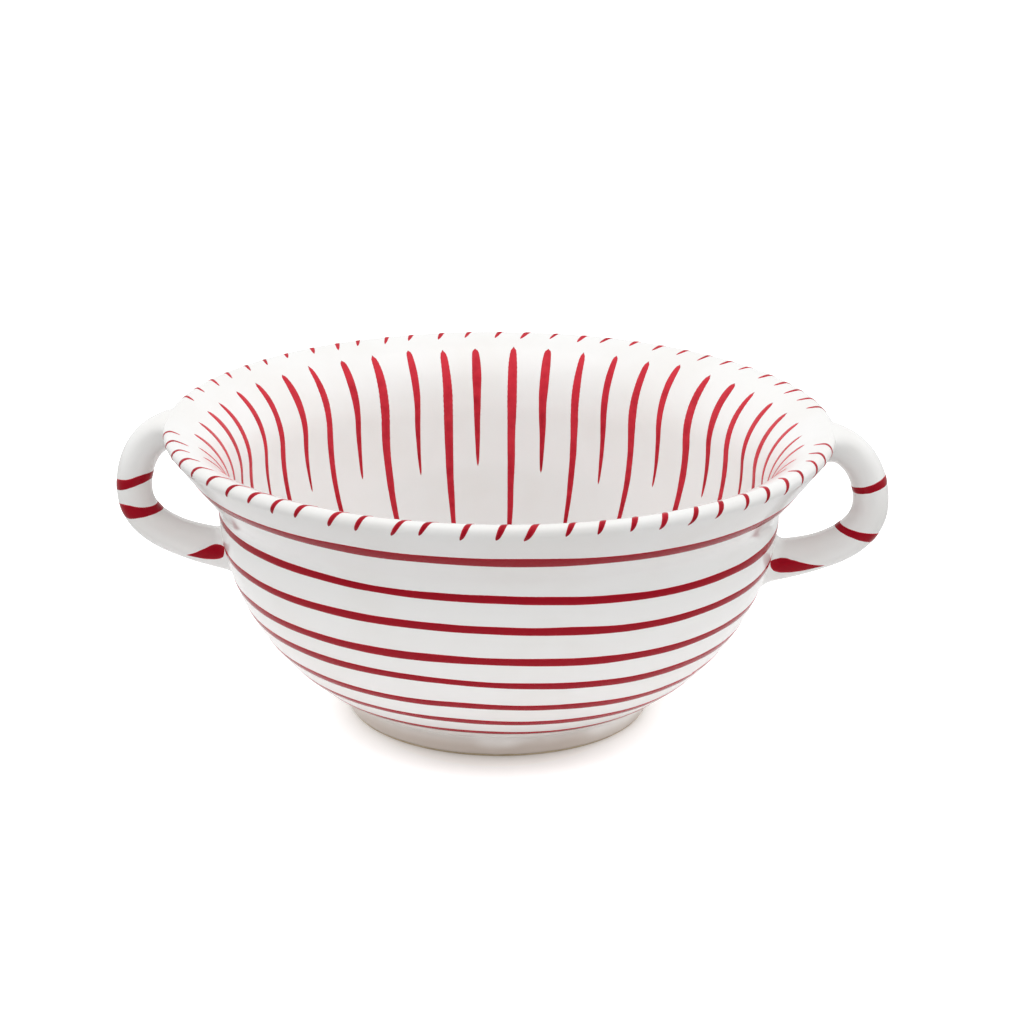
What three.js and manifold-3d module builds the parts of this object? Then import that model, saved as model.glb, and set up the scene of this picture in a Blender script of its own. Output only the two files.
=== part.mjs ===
// Handled serving bowl of glazed earthenware, in millimetres with +Z up.
// The origin lies on the table, on the bowl's axis, and the two loop handles stand out along X.
// The wall is thrown, the foot ring and the handles are made apart and joined to it with clay slip.

import * as THREE from "three";
import { mergeVertices } from "three/addons/utils/BufferGeometryUtils.js";
import Module from "manifold-3d";

const wasm = await Module();
wasm.setup();

// Driving dimensions of the bowl
const HEIGHT = 135; // from the table to the crest of the rim
const RIM_RADIUS = 150; // the rim's outermost edge
const BEAD_RADIUS = 3.3; // the rolled bead that ends the lip
const LIP_OVERHANG = 23.5; // how far the rim stands out past the upright neck
const LIP_HEIGHT = 34; // from the upright neck to the crest of the rim
const LIP_FLARE = 38; // degrees by which the underside of the lip leans out
const LIP_SWEEP = 15; // radius of the hollow sweep between the wall and the lip
const WALL = 6.5; // thickness of the wall
const FLOOR = 6; // thickness of the floor above the foot ring
const FLOOR_FILLET = 25; // inside corner between the floor and the wall

// Driving dimensions of the foot ring
const FOOT_HEIGHT = 10;
const FOOT_RADIUS = 67.5; // outside of the ring, just above the table
const FOOT_FLARE = 2.5; // how much wider the ring is where it meets the base
const FOOT_WIDTH = 9; // breadth of the ring, just above the table
const FOOT_CHAMFER = 0.8; // on both lower edges
const BASE_LEDGE = 1; // how far the base stands out past the top of the ring

// Driving dimensions of the handles
const HANDLE_THICKNESS = 16; // measured in the plane of the loop
const HANDLE_BREADTH = 20; // measured across the loop
const HANDLE_STANDOFF = 17; // from the rim's edge to the furthest point of the loop's middle line
const HANDLE_DROP = 27; // from the loop's seat on the rim down to its furthest point
const HANDLE_SEAT_HEIGHT = 70; // from the table to the middle of the seat on the wall
const HANDLE_SEAT_SLOPE = 9.5; // degrees by which the lower arm falls towards the wall

// Clay slip at the handles' seats
const SEAT_GAP = 0.3; // clearance of each slip-joined piece from its neighbours
const SLIP_SIZE = 4; // how far a bead of slip reaches over the handle and over the wall

// Fineness of the round shapes
const ROUND_STEPS = 60;
const CHORD_ERROR = 0.12;
const LOOP_STEPS = 40;
const SECTION_STEPS = 8;
const MERGE_DISTANCE = 1e-4;

// Share of its span at which an arc's control point lies, for a quarter ellipse and for the fuller lower arm
const QUARTER_ELLIPSE = 0.5523;
const LOWER_ARM_FULLNESS = 0.6;

// Profile of the bowl, as arcs in the half plane of radius and height
const neckRadius = RIM_RADIUS - LIP_OVERHANG;
const neckHeight = HEIGHT - LIP_HEIGHT;
const footTopRadius = FOOT_RADIUS + FOOT_FLARE;
const baseRadius = footTopRadius + BASE_LEDGE;
const floorHeight = FOOT_HEIGHT + FLOOR;

// The wall's arc grows upright towards the neck and ends on the edge of the base
const wallInset = neckRadius - baseRadius;
const wallRise = neckHeight - FOOT_HEIGHT;
const wallRadius = (wallInset ** 2 + wallRise ** 2) / (2 * wallInset);
const wallCentre = new THREE.Vector2(neckRadius - wallRadius, neckHeight);

// The inside of the lip is an arc that is upright at the neck and touches the bead
const beadCentre = new THREE.Vector2(RIM_RADIUS - BEAD_RADIUS, HEIGHT - BEAD_RADIUS);
const beadRise = beadCentre.y - neckHeight;
const overReach = beadCentre.x - neckRadius + WALL;
const overRadius = (overReach ** 2 + beadRise ** 2 - BEAD_RADIUS ** 2) / (2 * (overReach - BEAD_RADIUS));
const overCentre = new THREE.Vector2(neckRadius - WALL + overRadius, neckHeight);
const lipEnd = angleTo(overCentre, beadCentre);

// The underside of the lip is a straight flare that touches the bead, and a sweep joins it to the wall's arc
const flare = THREE.MathUtils.degToRad(LIP_FLARE);
const flareWay = new THREE.Vector2(Math.sin(flare), Math.cos(flare));
const flareOut = new THREE.Vector2(Math.cos(flare), -Math.sin(flare));
const flareTop = beadCentre.clone().addScaledVector(flareOut, BEAD_RADIUS + LIP_SWEEP);
const flareSpan = flareTop.clone().sub(wallCentre);
const flareRun = flareSpan.dot(flareWay);
const flareLength = flareRun - Math.sqrt(flareRun ** 2 - flareSpan.lengthSq() + (wallRadius + LIP_SWEEP) ** 2);
const sweepCentre = flareTop.clone().addScaledVector(flareWay, -flareLength);

// The inside wall follows the outside one and runs into the floor through a fillet
const insideRadius = wallRadius - WALL;
const filletHeight = floorHeight + FLOOR_FILLET;
const filletReach = Math.sqrt((insideRadius - FLOOR_FILLET) ** 2 - (neckHeight - filletHeight) ** 2);
const filletCentre = new THREE.Vector2(wallCentre.x + filletReach, filletHeight);

function angleTo(from, to) {
  return Math.atan2(to.y - from.y, to.x - from.x);
}

function arc(centre, radius, from, to) {
  const turn = 2 * Math.acos(1 - CHORD_ERROR / radius);
  const steps = Math.max(1, Math.ceil(Math.abs(to - from) / turn));
  const curve = new THREE.EllipseCurve(centre.x, centre.y, radius, radius, from, to, to < from);
  return curve.getPoints(steps);
}

// Joins runs of points into one, without the points that two runs share
function joined(...runs) {
  const apart = (point, index, all) => index === 0 || point.distanceTo(all[index - 1]) > MERGE_DISTANCE;
  return runs.flat().filter(apart);
}

// Outside of the bowl from the edge of the base up to an angle on the bead, moved outwards by a clearance
function outsideProfile(clearance, beadEnd) {
  const baseEdge = new THREE.Vector2(baseRadius, FOOT_HEIGHT);
  const wallTop = angleTo(wallCentre, sweepCentre);
  return joined(
    arc(wallCentre, wallRadius + clearance, angleTo(wallCentre, baseEdge), wallTop),
    arc(sweepCentre, LIP_SWEEP - clearance, wallTop + Math.PI, Math.PI - flare),
    arc(beadCentre, BEAD_RADIUS + clearance, -flare, beadEnd),
  );
}

// Inside of the bowl from the end of the bead down to the edge of the floor
function insideProfile() {
  const wallEnd = angleTo(wallCentre, filletCentre);
  return joined(
    arc(overCentre, overRadius, lipEnd, Math.PI),
    arc(wallCentre, insideRadius, 0, wallEnd),
    arc(filletCentre, FLOOR_FILLET, wallEnd, -Math.PI / 2),
  );
}

function turned(points) {
  return new THREE.LatheGeometry(points, ROUND_STEPS).rotateX(Math.PI / 2);
}

function bowlBody() {
  const underside = new THREE.Vector2(0, FOOT_HEIGHT);
  const floor = new THREE.Vector2(0, floorHeight);
  return turned(joined([underside], outsideProfile(0, lipEnd), insideProfile(), [floor]));
}

function footRing() {
  const innerRadius = FOOT_RADIUS - FOOT_WIDTH;
  const corners = [
    [FOOT_RADIUS - FOOT_CHAMFER, 0],
    [FOOT_RADIUS, FOOT_CHAMFER],
    [footTopRadius, FOOT_HEIGHT],
    [innerRadius, FOOT_HEIGHT],
    [innerRadius, FOOT_CHAMFER],
    [innerRadius + FOOT_CHAMFER, 0],
    [FOOT_RADIUS - FOOT_CHAMFER, 0],
  ];
  return turned(corners.map(([radius, height]) => new THREE.Vector2(radius, height)));
}

// Everything inside the bowl's outer face, and above it, with a clearance: what a handle may not enter
function bowlSpace(clearance) {
  const outside = outsideProfile(clearance, Math.PI / 2);
  const crest = outside[outside.length - 1];
  const top = HEIGHT + HANDLE_THICKNESS;
  const lid = [new THREE.Vector2(crest.x, top), new THREE.Vector2(0, top)];
  return solid(turned(joined([new THREE.Vector2(0, outside[0].y)], outside, lid)));
}

// Middle line of the right handle: out from under the lip, round the loop and back into the wall
const loopTop = HEIGHT - HANDLE_THICKNESS / 2;
const loopReach = RIM_RADIUS + HANDLE_STANDOFF;

function handlePath() {
  const seatRadius = wallCentre.x + Math.sqrt(wallRadius ** 2 - (neckHeight - HANDLE_SEAT_HEIGHT) ** 2);
  const slope = THREE.MathUtils.degToRad(HANDLE_SEAT_SLOPE);
  const lowerArm = new THREE.Vector3(Math.cos(slope), 0, Math.sin(slope));
  const underLip = new THREE.Vector3(neckRadius, 0, loopTop);
  const rimSeat = new THREE.Vector3(beadCentre.x, 0, loopTop);
  const furthest = new THREE.Vector3(loopReach, 0, loopTop - HANDLE_DROP);
  const wallSeat = new THREE.Vector3(seatRadius, 0, HANDLE_SEAT_HEIGHT);
  const inWall = wallSeat.clone().addScaledVector(lowerArm, -HANDLE_THICKNESS);

  const outwards = rimSeat.clone();
  outwards.x += QUARTER_ELLIPSE * (furthest.x - rimSeat.x);
  const upwards = furthest.clone();
  upwards.z += QUARTER_ELLIPSE * HANDLE_DROP;
  const downwards = furthest.clone();
  downwards.z -= LOWER_ARM_FULLNESS * (furthest.z - wallSeat.z);
  const alongArm = wallSeat.clone().addScaledVector(lowerArm, LOWER_ARM_FULLNESS * (furthest.x - wallSeat.x));

  const path = new THREE.CurvePath();
  path.add(new THREE.LineCurve3(underLip, rimSeat));
  path.add(new THREE.CubicBezierCurve3(rimSeat, outwards, upwards, furthest));
  path.add(new THREE.CubicBezierCurve3(furthest, downwards, alongArm, wallSeat));
  path.add(new THREE.LineCurve3(wallSeat, inWall));
  return path;
}

// The oval roll of clay along the middle line, thicker all round by a clearance
function handleRoll(clearance) {
  const section = new THREE.Shape();
  const halfThickness = HANDLE_THICKNESS / 2 + clearance;
  const halfBreadth = HANDLE_BREADTH / 2 + clearance;
  section.absellipse(0, 0, halfThickness, halfBreadth, 0, 2 * Math.PI);
  const settings = { steps: LOOP_STEPS, curveSegments: SECTION_STEPS, extrudePath: handlePath() };
  return solid(new THREE.ExtrudeGeometry(section, settings));
}

function handle() {
  return geometry(handleRoll(0).subtract(bowlSpace(SEAT_GAP)));
}

// A block that holds one end of the right handle, between two heights
function endBlock(low, high) {
  const halfBreadth = HANDLE_BREADTH / 2 + SLIP_SIZE;
  const length = loopReach + HANDLE_THICKNESS;
  const block = new THREE.BoxGeometry(length, 2 * halfBreadth, high - low);
  return solid(block.translate(length / 2, 0, (low + high) / 2));
}

// Bead of slip in the corner between a handle and the bowl, within a block
function slipBead(block) {
  const corner = handleRoll(SLIP_SIZE).intersect(bowlSpace(SLIP_SIZE));
  const free = corner.subtract(handleRoll(SEAT_GAP)).subtract(bowlSpace(SEAT_GAP));
  return geometry(free.intersect(block));
}

// The bead under the rim stops at the middle of the rim's own bead, so it stays out of the mouth
function rimSlip() {
  return slipBead(endBlock(loopTop - HANDLE_DROP, beadCentre.y));
}

function wallSlip() {
  return slipBead(endBlock(0, loopTop - HANDLE_DROP));
}

// Closed mesh to solid: shared corners are merged and flat triangles at the axis are dropped
function solid(shape) {
  shape.deleteAttribute("normal");
  shape.deleteAttribute("uv");
  const merged = mergeVertices(shape, MERGE_DISTANCE);
  const corners = merged.index.array;
  const triangles = [];
  for (let i = 0; i < corners.length; i += 3) {
    const [a, b, c] = corners.slice(i, i + 3);
    if (a !== b && b !== c && c !== a) {
      triangles.push(a, b, c);
    }
  }
  const vertProperties = new Float32Array(merged.getAttribute("position").array);
  const triVerts = new Uint32Array(triangles);
  return new wasm.Manifold(new wasm.Mesh({ numProp: 3, vertProperties, triVerts }));
}

function geometry(body) {
  const mesh = body.getMesh();
  const shape = new THREE.BufferGeometry();
  shape.setAttribute("position", new THREE.BufferAttribute(mesh.vertProperties, 3));
  shape.setIndex(new THREE.BufferAttribute(mesh.triVerts, 1));
  shape.computeVertexNormals();
  return shape;
}

const whiteGlaze = new THREE.MeshStandardMaterial({ color: 0xf2f1ee, roughness: 0.15, metalness: 0 });
const bareClay = new THREE.MeshStandardMaterial({ color: 0xd8cbb0, roughness: 0.85, metalness: 0 });

function piece(name, shape, material) {
  const mesh = new THREE.Mesh(shape, material);
  mesh.name = name;
  return mesh;
}

const bowl = new THREE.Group();
bowl.add(piece("bowl_body", bowlBody(), whiteGlaze));
bowl.add(piece("foot_ring", footRing(), bareClay));

const sides = { right: 0, left: Math.PI };
for (const [side, turn] of Object.entries(sides)) {
  const group = new THREE.Group();
  group.rotation.z = turn;
  group.add(piece(`${side}_handle`, handle(), whiteGlaze));
  group.add(piece(`${side}_rim_slip`, rimSlip(), whiteGlaze));
  group.add(piece(`${side}_wall_slip`, wallSlip(), whiteGlaze));
  bowl.add(group);
}

export default bowl;
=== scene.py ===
"""Handled serving bowl: a glazed wall on a foot ring, two loop handles and plain brushwork in red.

The file is laid out as an add-on and is run as a script. Each operator makes one piece, or one group of
like pieces, around the packed frame: in metres, with the origin on the table under the bowl's middle.
"""

import math

import bmesh
import bpy
from mathutils import Matrix, Vector


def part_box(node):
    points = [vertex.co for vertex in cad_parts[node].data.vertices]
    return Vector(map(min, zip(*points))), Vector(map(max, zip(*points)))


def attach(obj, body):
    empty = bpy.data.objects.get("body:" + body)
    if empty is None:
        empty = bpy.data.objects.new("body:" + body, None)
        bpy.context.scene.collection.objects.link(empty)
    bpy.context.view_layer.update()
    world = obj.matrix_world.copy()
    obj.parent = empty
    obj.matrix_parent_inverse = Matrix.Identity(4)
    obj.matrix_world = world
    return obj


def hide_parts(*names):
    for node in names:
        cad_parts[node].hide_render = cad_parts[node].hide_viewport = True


bl_info = {
    "name": "Handled serving bowl",
    "version": (1, 0, 0),
    "blender": (4, 5, 0),
    "location": "3D View > Sidebar > Bowl",
    "description": "Glazed serving bowl with a foot ring, two loop handles and red brushwork",
    "category": "Object",
}

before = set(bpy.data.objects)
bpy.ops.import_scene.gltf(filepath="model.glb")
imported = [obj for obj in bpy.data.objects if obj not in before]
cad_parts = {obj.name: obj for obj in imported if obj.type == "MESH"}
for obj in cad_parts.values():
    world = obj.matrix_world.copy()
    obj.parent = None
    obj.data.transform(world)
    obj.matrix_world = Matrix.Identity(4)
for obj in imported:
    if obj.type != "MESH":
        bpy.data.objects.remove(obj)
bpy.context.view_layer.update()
BOWL_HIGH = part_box("bowl_body")[1]
FOOT_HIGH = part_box("foot_ring")[1]
HANDLE_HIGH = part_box("right_handle")[1]

# Room inside the packed box for the wall's unevenness and the paint on it
PAINT_ROOM = 0.0004

# Fineness of the meshes
SECTION_STEP = 0.0004
MERGE_DISTANCE = 1e-6
WALL_STEPS = (264, 350)
FOOT_STEPS = (240, 110)
GLAZE_STEPS = (240, 170)
LOOP_STEPS = (96, 240)
PAINT_SECTION_STEPS = 10
BAND_STEPS = 300
STROKE_STEPS = 44
DASH_STEPS = 16
LOOP_BAND_STEPS = 64
CURVE_STEPS = 80

# Width and height of the picture that the camera is set for, in pixels
PICTURE_SIZE = 1024
SENSOR_WIDTH = 36.0


def length(name, description, default):
    return bpy.props.FloatProperty(
        name=name, description=description, default=default, unit="LENGTH", precision=5, step=0.01
    )


def lengths(name, description, default):
    return bpy.props.FloatVectorProperty(
        name=name, description=description, default=default, unit="LENGTH", precision=5, step=0.01
    )


def number(name, description, default):
    return bpy.props.FloatProperty(name=name, description=description, default=default, precision=3)


def shares(name, description, default):
    return bpy.props.FloatVectorProperty(
        name=name, description=description, default=default, size=len(default), precision=3
    )


def count(name, description, default):
    return bpy.props.IntProperty(name=name, description=description, default=default, min=1)


def angle(name, description, degrees):
    radians = math.radians(degrees)
    return bpy.props.FloatProperty(
        name=name, description=description, default=radians, subtype="ANGLE", unit="ROTATION"
    )


def colour(name, description, default):
    return bpy.props.FloatVectorProperty(
        name=name, description=description, default=default, subtype="COLOR", min=0.0, max=1.0
    )


class BowlShape(bpy.types.PropertyGroup):
    """Sizes of the turned wall and its foot."""

    height: length("Height", "From the table to the crest of the rim", BOWL_HIGH.z - PAINT_ROOM)
    rim_radius: length("Rim radius", "Outermost edge of the rim", BOWL_HIGH.x - PAINT_ROOM)
    bead_radius: length("Bead radius", "Rounded edge that ends the lip", 0.0033)
    lip_overhang: length("Lip overhang", "How far the rim stands out past the upright neck", 0.0235)
    lip_height: length("Lip height", "From the upright neck to the crest of the rim", 0.034)
    lip_flare: angle("Lip flare", "How far the underside of the lip leans out", 38.0)
    lip_sweep: length("Lip sweep", "Radius of the hollow sweep between the wall and the lip", 0.015)
    wall: length("Wall", "Thickness of the wall", 0.0065)
    floor: length("Floor", "Thickness of the floor above the foot ring", 0.006)
    floor_fillet: length("Floor fillet", "Inside corner between the floor and the wall", 0.025)
    unevenness: length("Unevenness", "How far the thrown wall strays from a true turned shape", 0.00025)
    foot_height: length("Foot height", "From the table to the underside of the base", FOOT_HIGH.z)
    foot_radius: length("Foot radius", "Outside of the foot ring just above the table", 0.0675)
    foot_flare: length("Foot flare", "How much wider the foot ring is where it meets the base", 0.0025)
    foot_width: length("Foot width", "Breadth of the foot ring just above the table", 0.009)
    foot_rounding: length("Foot rounding", "Worn lower edges of the foot ring", 0.0008)
    base_ledge: length("Base ledge", "How far the base stands out past the top of the foot ring", 0.001)
    foot_fillet: length("Foot fillet", "Glaze and clay in the corner between foot and wall", 0.007)
    glaze_coat: length("Glaze coat", "Thickness of the glaze on the foot ring", 0.0003)
    glaze_line: length("Glaze line", "Height of the bare clay edge above the table", 0.0013)
    glaze_wander: length("Glaze wander", "How far the edge of the glaze strays up and down", 0.0004)


class HandleShape(bpy.types.PropertyGroup):
    """Sizes of the two loop handles."""

    thickness: length("Thickness", "Of the roll, in the plane of the loop", 0.016)
    breadth: length("Breadth", "Of the roll, across the loop", 0.020)
    reach: length("Reach", "Furthest face of the loop from the bowl's axis", HANDLE_HIGH.x - PAINT_ROOM)
    left_inset: length("Left inset", "How much nearer to the bowl the left loop stands", 0.0015)
    drop: length("Drop", "From the loop's seat on the rim down to its furthest point", 0.027)
    seat_height: length("Seat height", "From the table to the middle of the seat on the wall", 0.070)
    seat_slope: angle("Seat slope", "How steeply the lower arm falls towards the wall", 9.5)
    root_swell: number("Root swell", "How much thicker the lower arm is at the wall, as a share", 0.15)
    rim_fillet: length("Rim fillet", "Clay smoothed into the corner at the rim", 0.008)
    wall_fillet: length("Wall fillet", "Clay smoothed into the corner at the wall", 0.0055)
    unevenness: length("Unevenness", "How far the hand-rolled loop strays from a true roll", 0.0003)


class Brushwork(bpy.types.PropertyGroup):
    """Sizes and counts of the painted lines."""

    relief: length("Relief", "How far the paint stands up from the glaze", 0.00015)
    seed: count("Seed", "Picks the chance differences between the strokes", 7)
    band_count: count("Bands", "Level bands round the outside", 8)
    band_first: length("First band", "From the crest down the outside to the first band", 0.0238)
    band_second: length("Second band", "From the crest down the outside to the second band", 0.0487)
    band_spacing: length("Band spacing", "From each later band to the next along the wall", 0.0150)
    first_width: length("First band width", "Width of the band under the lip", 0.0056)
    second_width: length("Second band width", "Width of the band below it", 0.0037)
    last_width: length("Last band width", "Width of the band above the foot", 0.0046)
    band_waver: length("Band waver", "How far a band strays up and down", 0.0016)
    band_lean: length("Band lean", "How much lower the bands lie on the right than on the left", 0.0050)
    stroke_count: count("Strokes", "Upright strokes on the inside, long and short in turn", 48)
    stroke_start: length("Stroke start", "From the crest down to the tops of the strokes", 0.012)
    stroke_long: length("Long stroke", "Length of every other stroke", 0.104)
    stroke_short: length("Short stroke", "Length of the strokes between", 0.062)
    stroke_width: length("Stroke width", "Of a stroke at its widest", 0.0042)
    stroke_waver: length("Stroke waver", "How far a stroke strays sideways", 0.0006)
    # The strokes' tops are lighter partly from less paint and partly as a painted highlight under the
    # rim
    stroke_loads_and_sheen: shares("Stroke loads", "Colour at a stroke's top and tip", (0.1, 0.5))
    dash_count: count("Dashes", "Slanted dashes over the rim", 66)
    dash_length: length("Dash length", "From one end of a dash to the other", 0.013)
    dash_width: length("Dash width", "Of a dash at its widest", 0.0026)
    dash_slant: length("Dash slant", "How far a dash runs along the rim", 0.006)
    dash_waver: length("Dash waver", "How far a dash strays sideways", 0.0003)
    # The dashes' inner ends are lighter as a painted highlight, and their outer ends, which turn down
    # over the rim, are deeper as painted shade, partly from the paint's load too
    dash_loads_sheen_and_shade: shares("Dash loads", "Colour at a dash's outer and inner end", (0.8, 0.2))
    dash_gap: angle("Dash gap", "Kept clear to either side of a handle's middle", 7.5)
    left_places: lengths("Left strokes", "Places along the left loop", (0.0376, 0.0516, 0.0897))
    right_places: lengths("Right strokes", "Places along the right loop", (0.0343, 0.0579, 0.0897))
    left_runs: lengths("Left runs", "How far each stroke runs along it", (-0.0068, 0.0085, 0.0180))
    right_runs: lengths("Right runs", "How far each stroke runs along it", (0.0019, 0.0086, 0.0246))
    left_widths: lengths("Left widths", "Of each stroke at its widest", (0.0048, 0.0060, 0.0062))
    right_widths: lengths("Right widths", "Of each stroke at its widest", (0.0036, 0.0044, 0.0066))
    loop_arches: lengths("Arches", "Bend along the loop on its outer and inner side", (0.0, 0.0018, 0.0))
    loop_sweeps: lengths("Sweeps", "How far each stroke goes round the roll", (0.064, 0.064, 0.009))
    left_turns: lengths("Left turns", "Round the roll to each stroke's middle", (0.009, 0.009, 0.0137))
    right_turns: lengths("Right turns", "Round the roll to each stroke's middle", (0.009, 0.009, 0.0127))


class Finish(bpy.types.PropertyGroup):
    """Colours of the glazes and the clay."""

    white: colour("White", "Tin glaze", (0.88, 0.877, 0.865))
    warm_white: colour("Warm white", "Tin glaze where it lies thinner", (0.86, 0.85, 0.83))
    # The foot white is partly thinned glaze over the clay and partly painted shade, darker than the
    # glaze near the table
    shaded_foot_white: colour("Foot white", "Tin glaze thinned over the foot's clay", (0.55, 0.485, 0.435))
    speck: colour("Speck", "Pinholes and iron specks in the glaze", (0.50, 0.43, 0.35))
    red: colour("Red", "Painted colour where it pools", (0.33, 0.003, 0.013))
    # Thin red is lightened so that it also serves as the painted highlight at the tops of the strokes
    # and dashes
    thin_red: colour("Thin red", "Painted colour at the edges of a stroke", (0.64, 0.033, 0.053))
    clay: colour("Clay", "Bare earthenware", (0.52, 0.43, 0.30))
    dark_clay: colour("Dark clay", "Grog and stains in the bare earthenware", (0.42, 0.33, 0.21))


class Studio(bpy.types.PropertyGroup):
    """Camera and light."""

    azimuth: angle("Azimuth", "Turn of the camera to the right of the front", 2.5)
    elevation: angle("Elevation", "Height of the camera above the table's plane", 19.88)
    roll: angle("Roll", "Turn of the camera about its own line of sight", 0.461)
    distance: length("Distance", "From the camera to the middle of the bowl", 1.4007)
    middle_height: length("Middle height", "Height of the point that the camera goes round", 0.06)
    focal_pixels: number("Focal length", "Of the camera, in pixels of the picture", 3083.0)
    picture_x: number("Picture X", "Column of the picture where the middle of the bowl lies", 499.1)
    picture_y: number("Picture Y", "Row of the picture where the middle of the bowl lies", 576.0)
    dome: number("Dome", "Strength of the light from all around", 0.78)
    front_light: number("Front light", "How bright the room in front is, as a share of the dome", 1.25)
    side_light: number("Side light", "How much brighter the dome is on the left and the right", 1.3)
    front_gloss: number("Front gloss", "How bright the front is, mirrored in the glaze", 0.15)
    lamp_watts: number("Lamp", "Power of the soft lamp overhead", 4.0)
    lamp_size: length("Lamp size", "Side of the square lamp", 1.6)
    lamp_height: length("Lamp height", "Of the lamp above the table", 1.8)
    floor_tone: colour("Floor", "Pale floor", (0.93, 0.93, 0.93))
    # The floor at the foot is darker and warm: a painted shadow round the foot, which also darkens the
    # light thrown back onto the foot
    floor_shade_at_foot: colour("Floor at the foot", "Where the clay colours its shadow", (0.70, 0.65, 0.61))
    floor_far: colour("Far floor", "Floor away from the bowl", (0.16, 0.16, 0.16))
    floor_gloss: number("Floor gloss", "How much of that whiteness is mirrored in the glaze", 0.3)
    floor_glow: number("Floor glow", "Light that the floor throws up, as a light table does", 0.12)


class Wire:
    """An output socket. Arithmetic on it adds Math nodes to its tree."""

    def __init__(self, tree, socket):
        self.tree = tree
        self.socket = socket

    def other(self, name):
        """Another output of the same node."""
        return Wire(self.tree, self.socket.node.outputs[name])

    def math(self, operation, *others):
        return self.tree.math(operation, self, *others)

    def __add__(self, other):
        return self.math("ADD", other)

    def __radd__(self, other):
        return self.math("ADD", other)

    def __sub__(self, other):
        return self.math("SUBTRACT", other)

    def __rsub__(self, other):
        return self.tree.math("SUBTRACT", other, self)

    def __mul__(self, other):
        return self.math("MULTIPLY", other)

    def __rmul__(self, other):
        return self.math("MULTIPLY", other)

    def __truediv__(self, other):
        return self.math("DIVIDE", other)

    def __rtruediv__(self, other):
        return self.tree.math("DIVIDE", other, self)

    def __neg__(self):
        return self.math("MULTIPLY", -1.0)


class Tree:
    """Adds nodes to a node tree, for shaders and for geometry alike."""

    def __init__(self, node_tree):
        self.node_tree = node_tree

    def add(self, kind, settings=None, sockets=None):
        """Adds a node, sets its settings and then its sockets, and gives its first output."""
        node = self.node_tree.nodes.new(kind)
        for name, value in (settings or {}).items():
            if name == "curve":
                self.shape_curve(node, value)
            else:
                setattr(node, name, value)
        for key, value in (sockets or {}).items():
            self.connect(node, key, value)
        live = [socket for socket in node.outputs if socket.enabled]
        return Wire(self, live[0]) if live else None

    def connect(self, node, key, value):
        if isinstance(key, str):
            socket = next(socket for socket in node.inputs if socket.enabled and socket.name == key)
        else:
            socket = node.inputs[key]
        if isinstance(value, Wire):
            self.node_tree.links.new(value.socket, socket)
        else:
            socket.default_value = value

    def shape_curve(self, node, points):
        curve = node.mapping.curves[0]
        for x, y in points[1:-1]:
            curve.points.new(x, y)
        curve.points[0].location = points[0]
        curve.points[-1].location = points[-1]
        node.mapping.update()

    def math(self, operation, *values):
        return self.add("ShaderNodeMath", {"operation": operation}, dict(enumerate(values)))

    def vector(self, operation, *values):
        return self.add("ShaderNodeVectorMath", {"operation": operation}, dict(enumerate(values)))

    def scaled(self, vector, amount):
        return self.add("ShaderNodeVectorMath", {"operation": "SCALE"}, {0: vector, "Scale": amount})

    def joined(self, x, y, z):
        return self.add("ShaderNodeCombineXYZ", None, {"X": x, "Y": y, "Z": z})

    def split(self, vector):
        parts = self.add("ShaderNodeSeparateXYZ", None, {"Vector": vector})
        return parts, parts.other("Y"), parts.other("Z")

    def noise(self, vector, scale, detail=1.0):
        sockets = {"Vector": vector, "Scale": scale, "Detail": detail}
        return self.add("ShaderNodeTexNoise", {"noise_dimensions": "3D"}, sockets)

    def stray(self, vector, scale, amount, detail=1.0):
        """Soft noise from minus the amount to the amount."""
        return (self.noise(vector, scale, detail) - 0.5) * 2.0 * amount

    def curved(self, points, value):
        """Height at the value of a curve through the points."""
        return self.add("ShaderNodeFloatCurve", {"curve": points}, {"Value": value})

    def eased(self, value, low, high, start=0.0, end=1.0):
        """Goes smoothly from start to end while the value goes from low to high."""
        sockets = {"Value": value, "From Min": low, "From Max": high, "To Min": start, "To Max": end}
        return self.add("ShaderNodeMapRange", {"interpolation_type": "SMOOTHSTEP"}, sockets)

    def mixed(self, kind, factor, first, second):
        sockets = {"Factor": factor, "A": first, "B": second}
        return self.add("ShaderNodeMix", {"data_type": kind}, sockets)


SOCKETS = {
    "geometry": "NodeSocketGeometry",
    "float": "NodeSocketFloat",
    "int": "NodeSocketInt",
    "vector": "NodeSocketVector",
    "object": "NodeSocketObject",
    "material": "NodeSocketMaterial",
}


def floats(*labels):
    """Inputs of a node group that are plain numbers."""
    return {label: "float" for label in labels}


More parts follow.
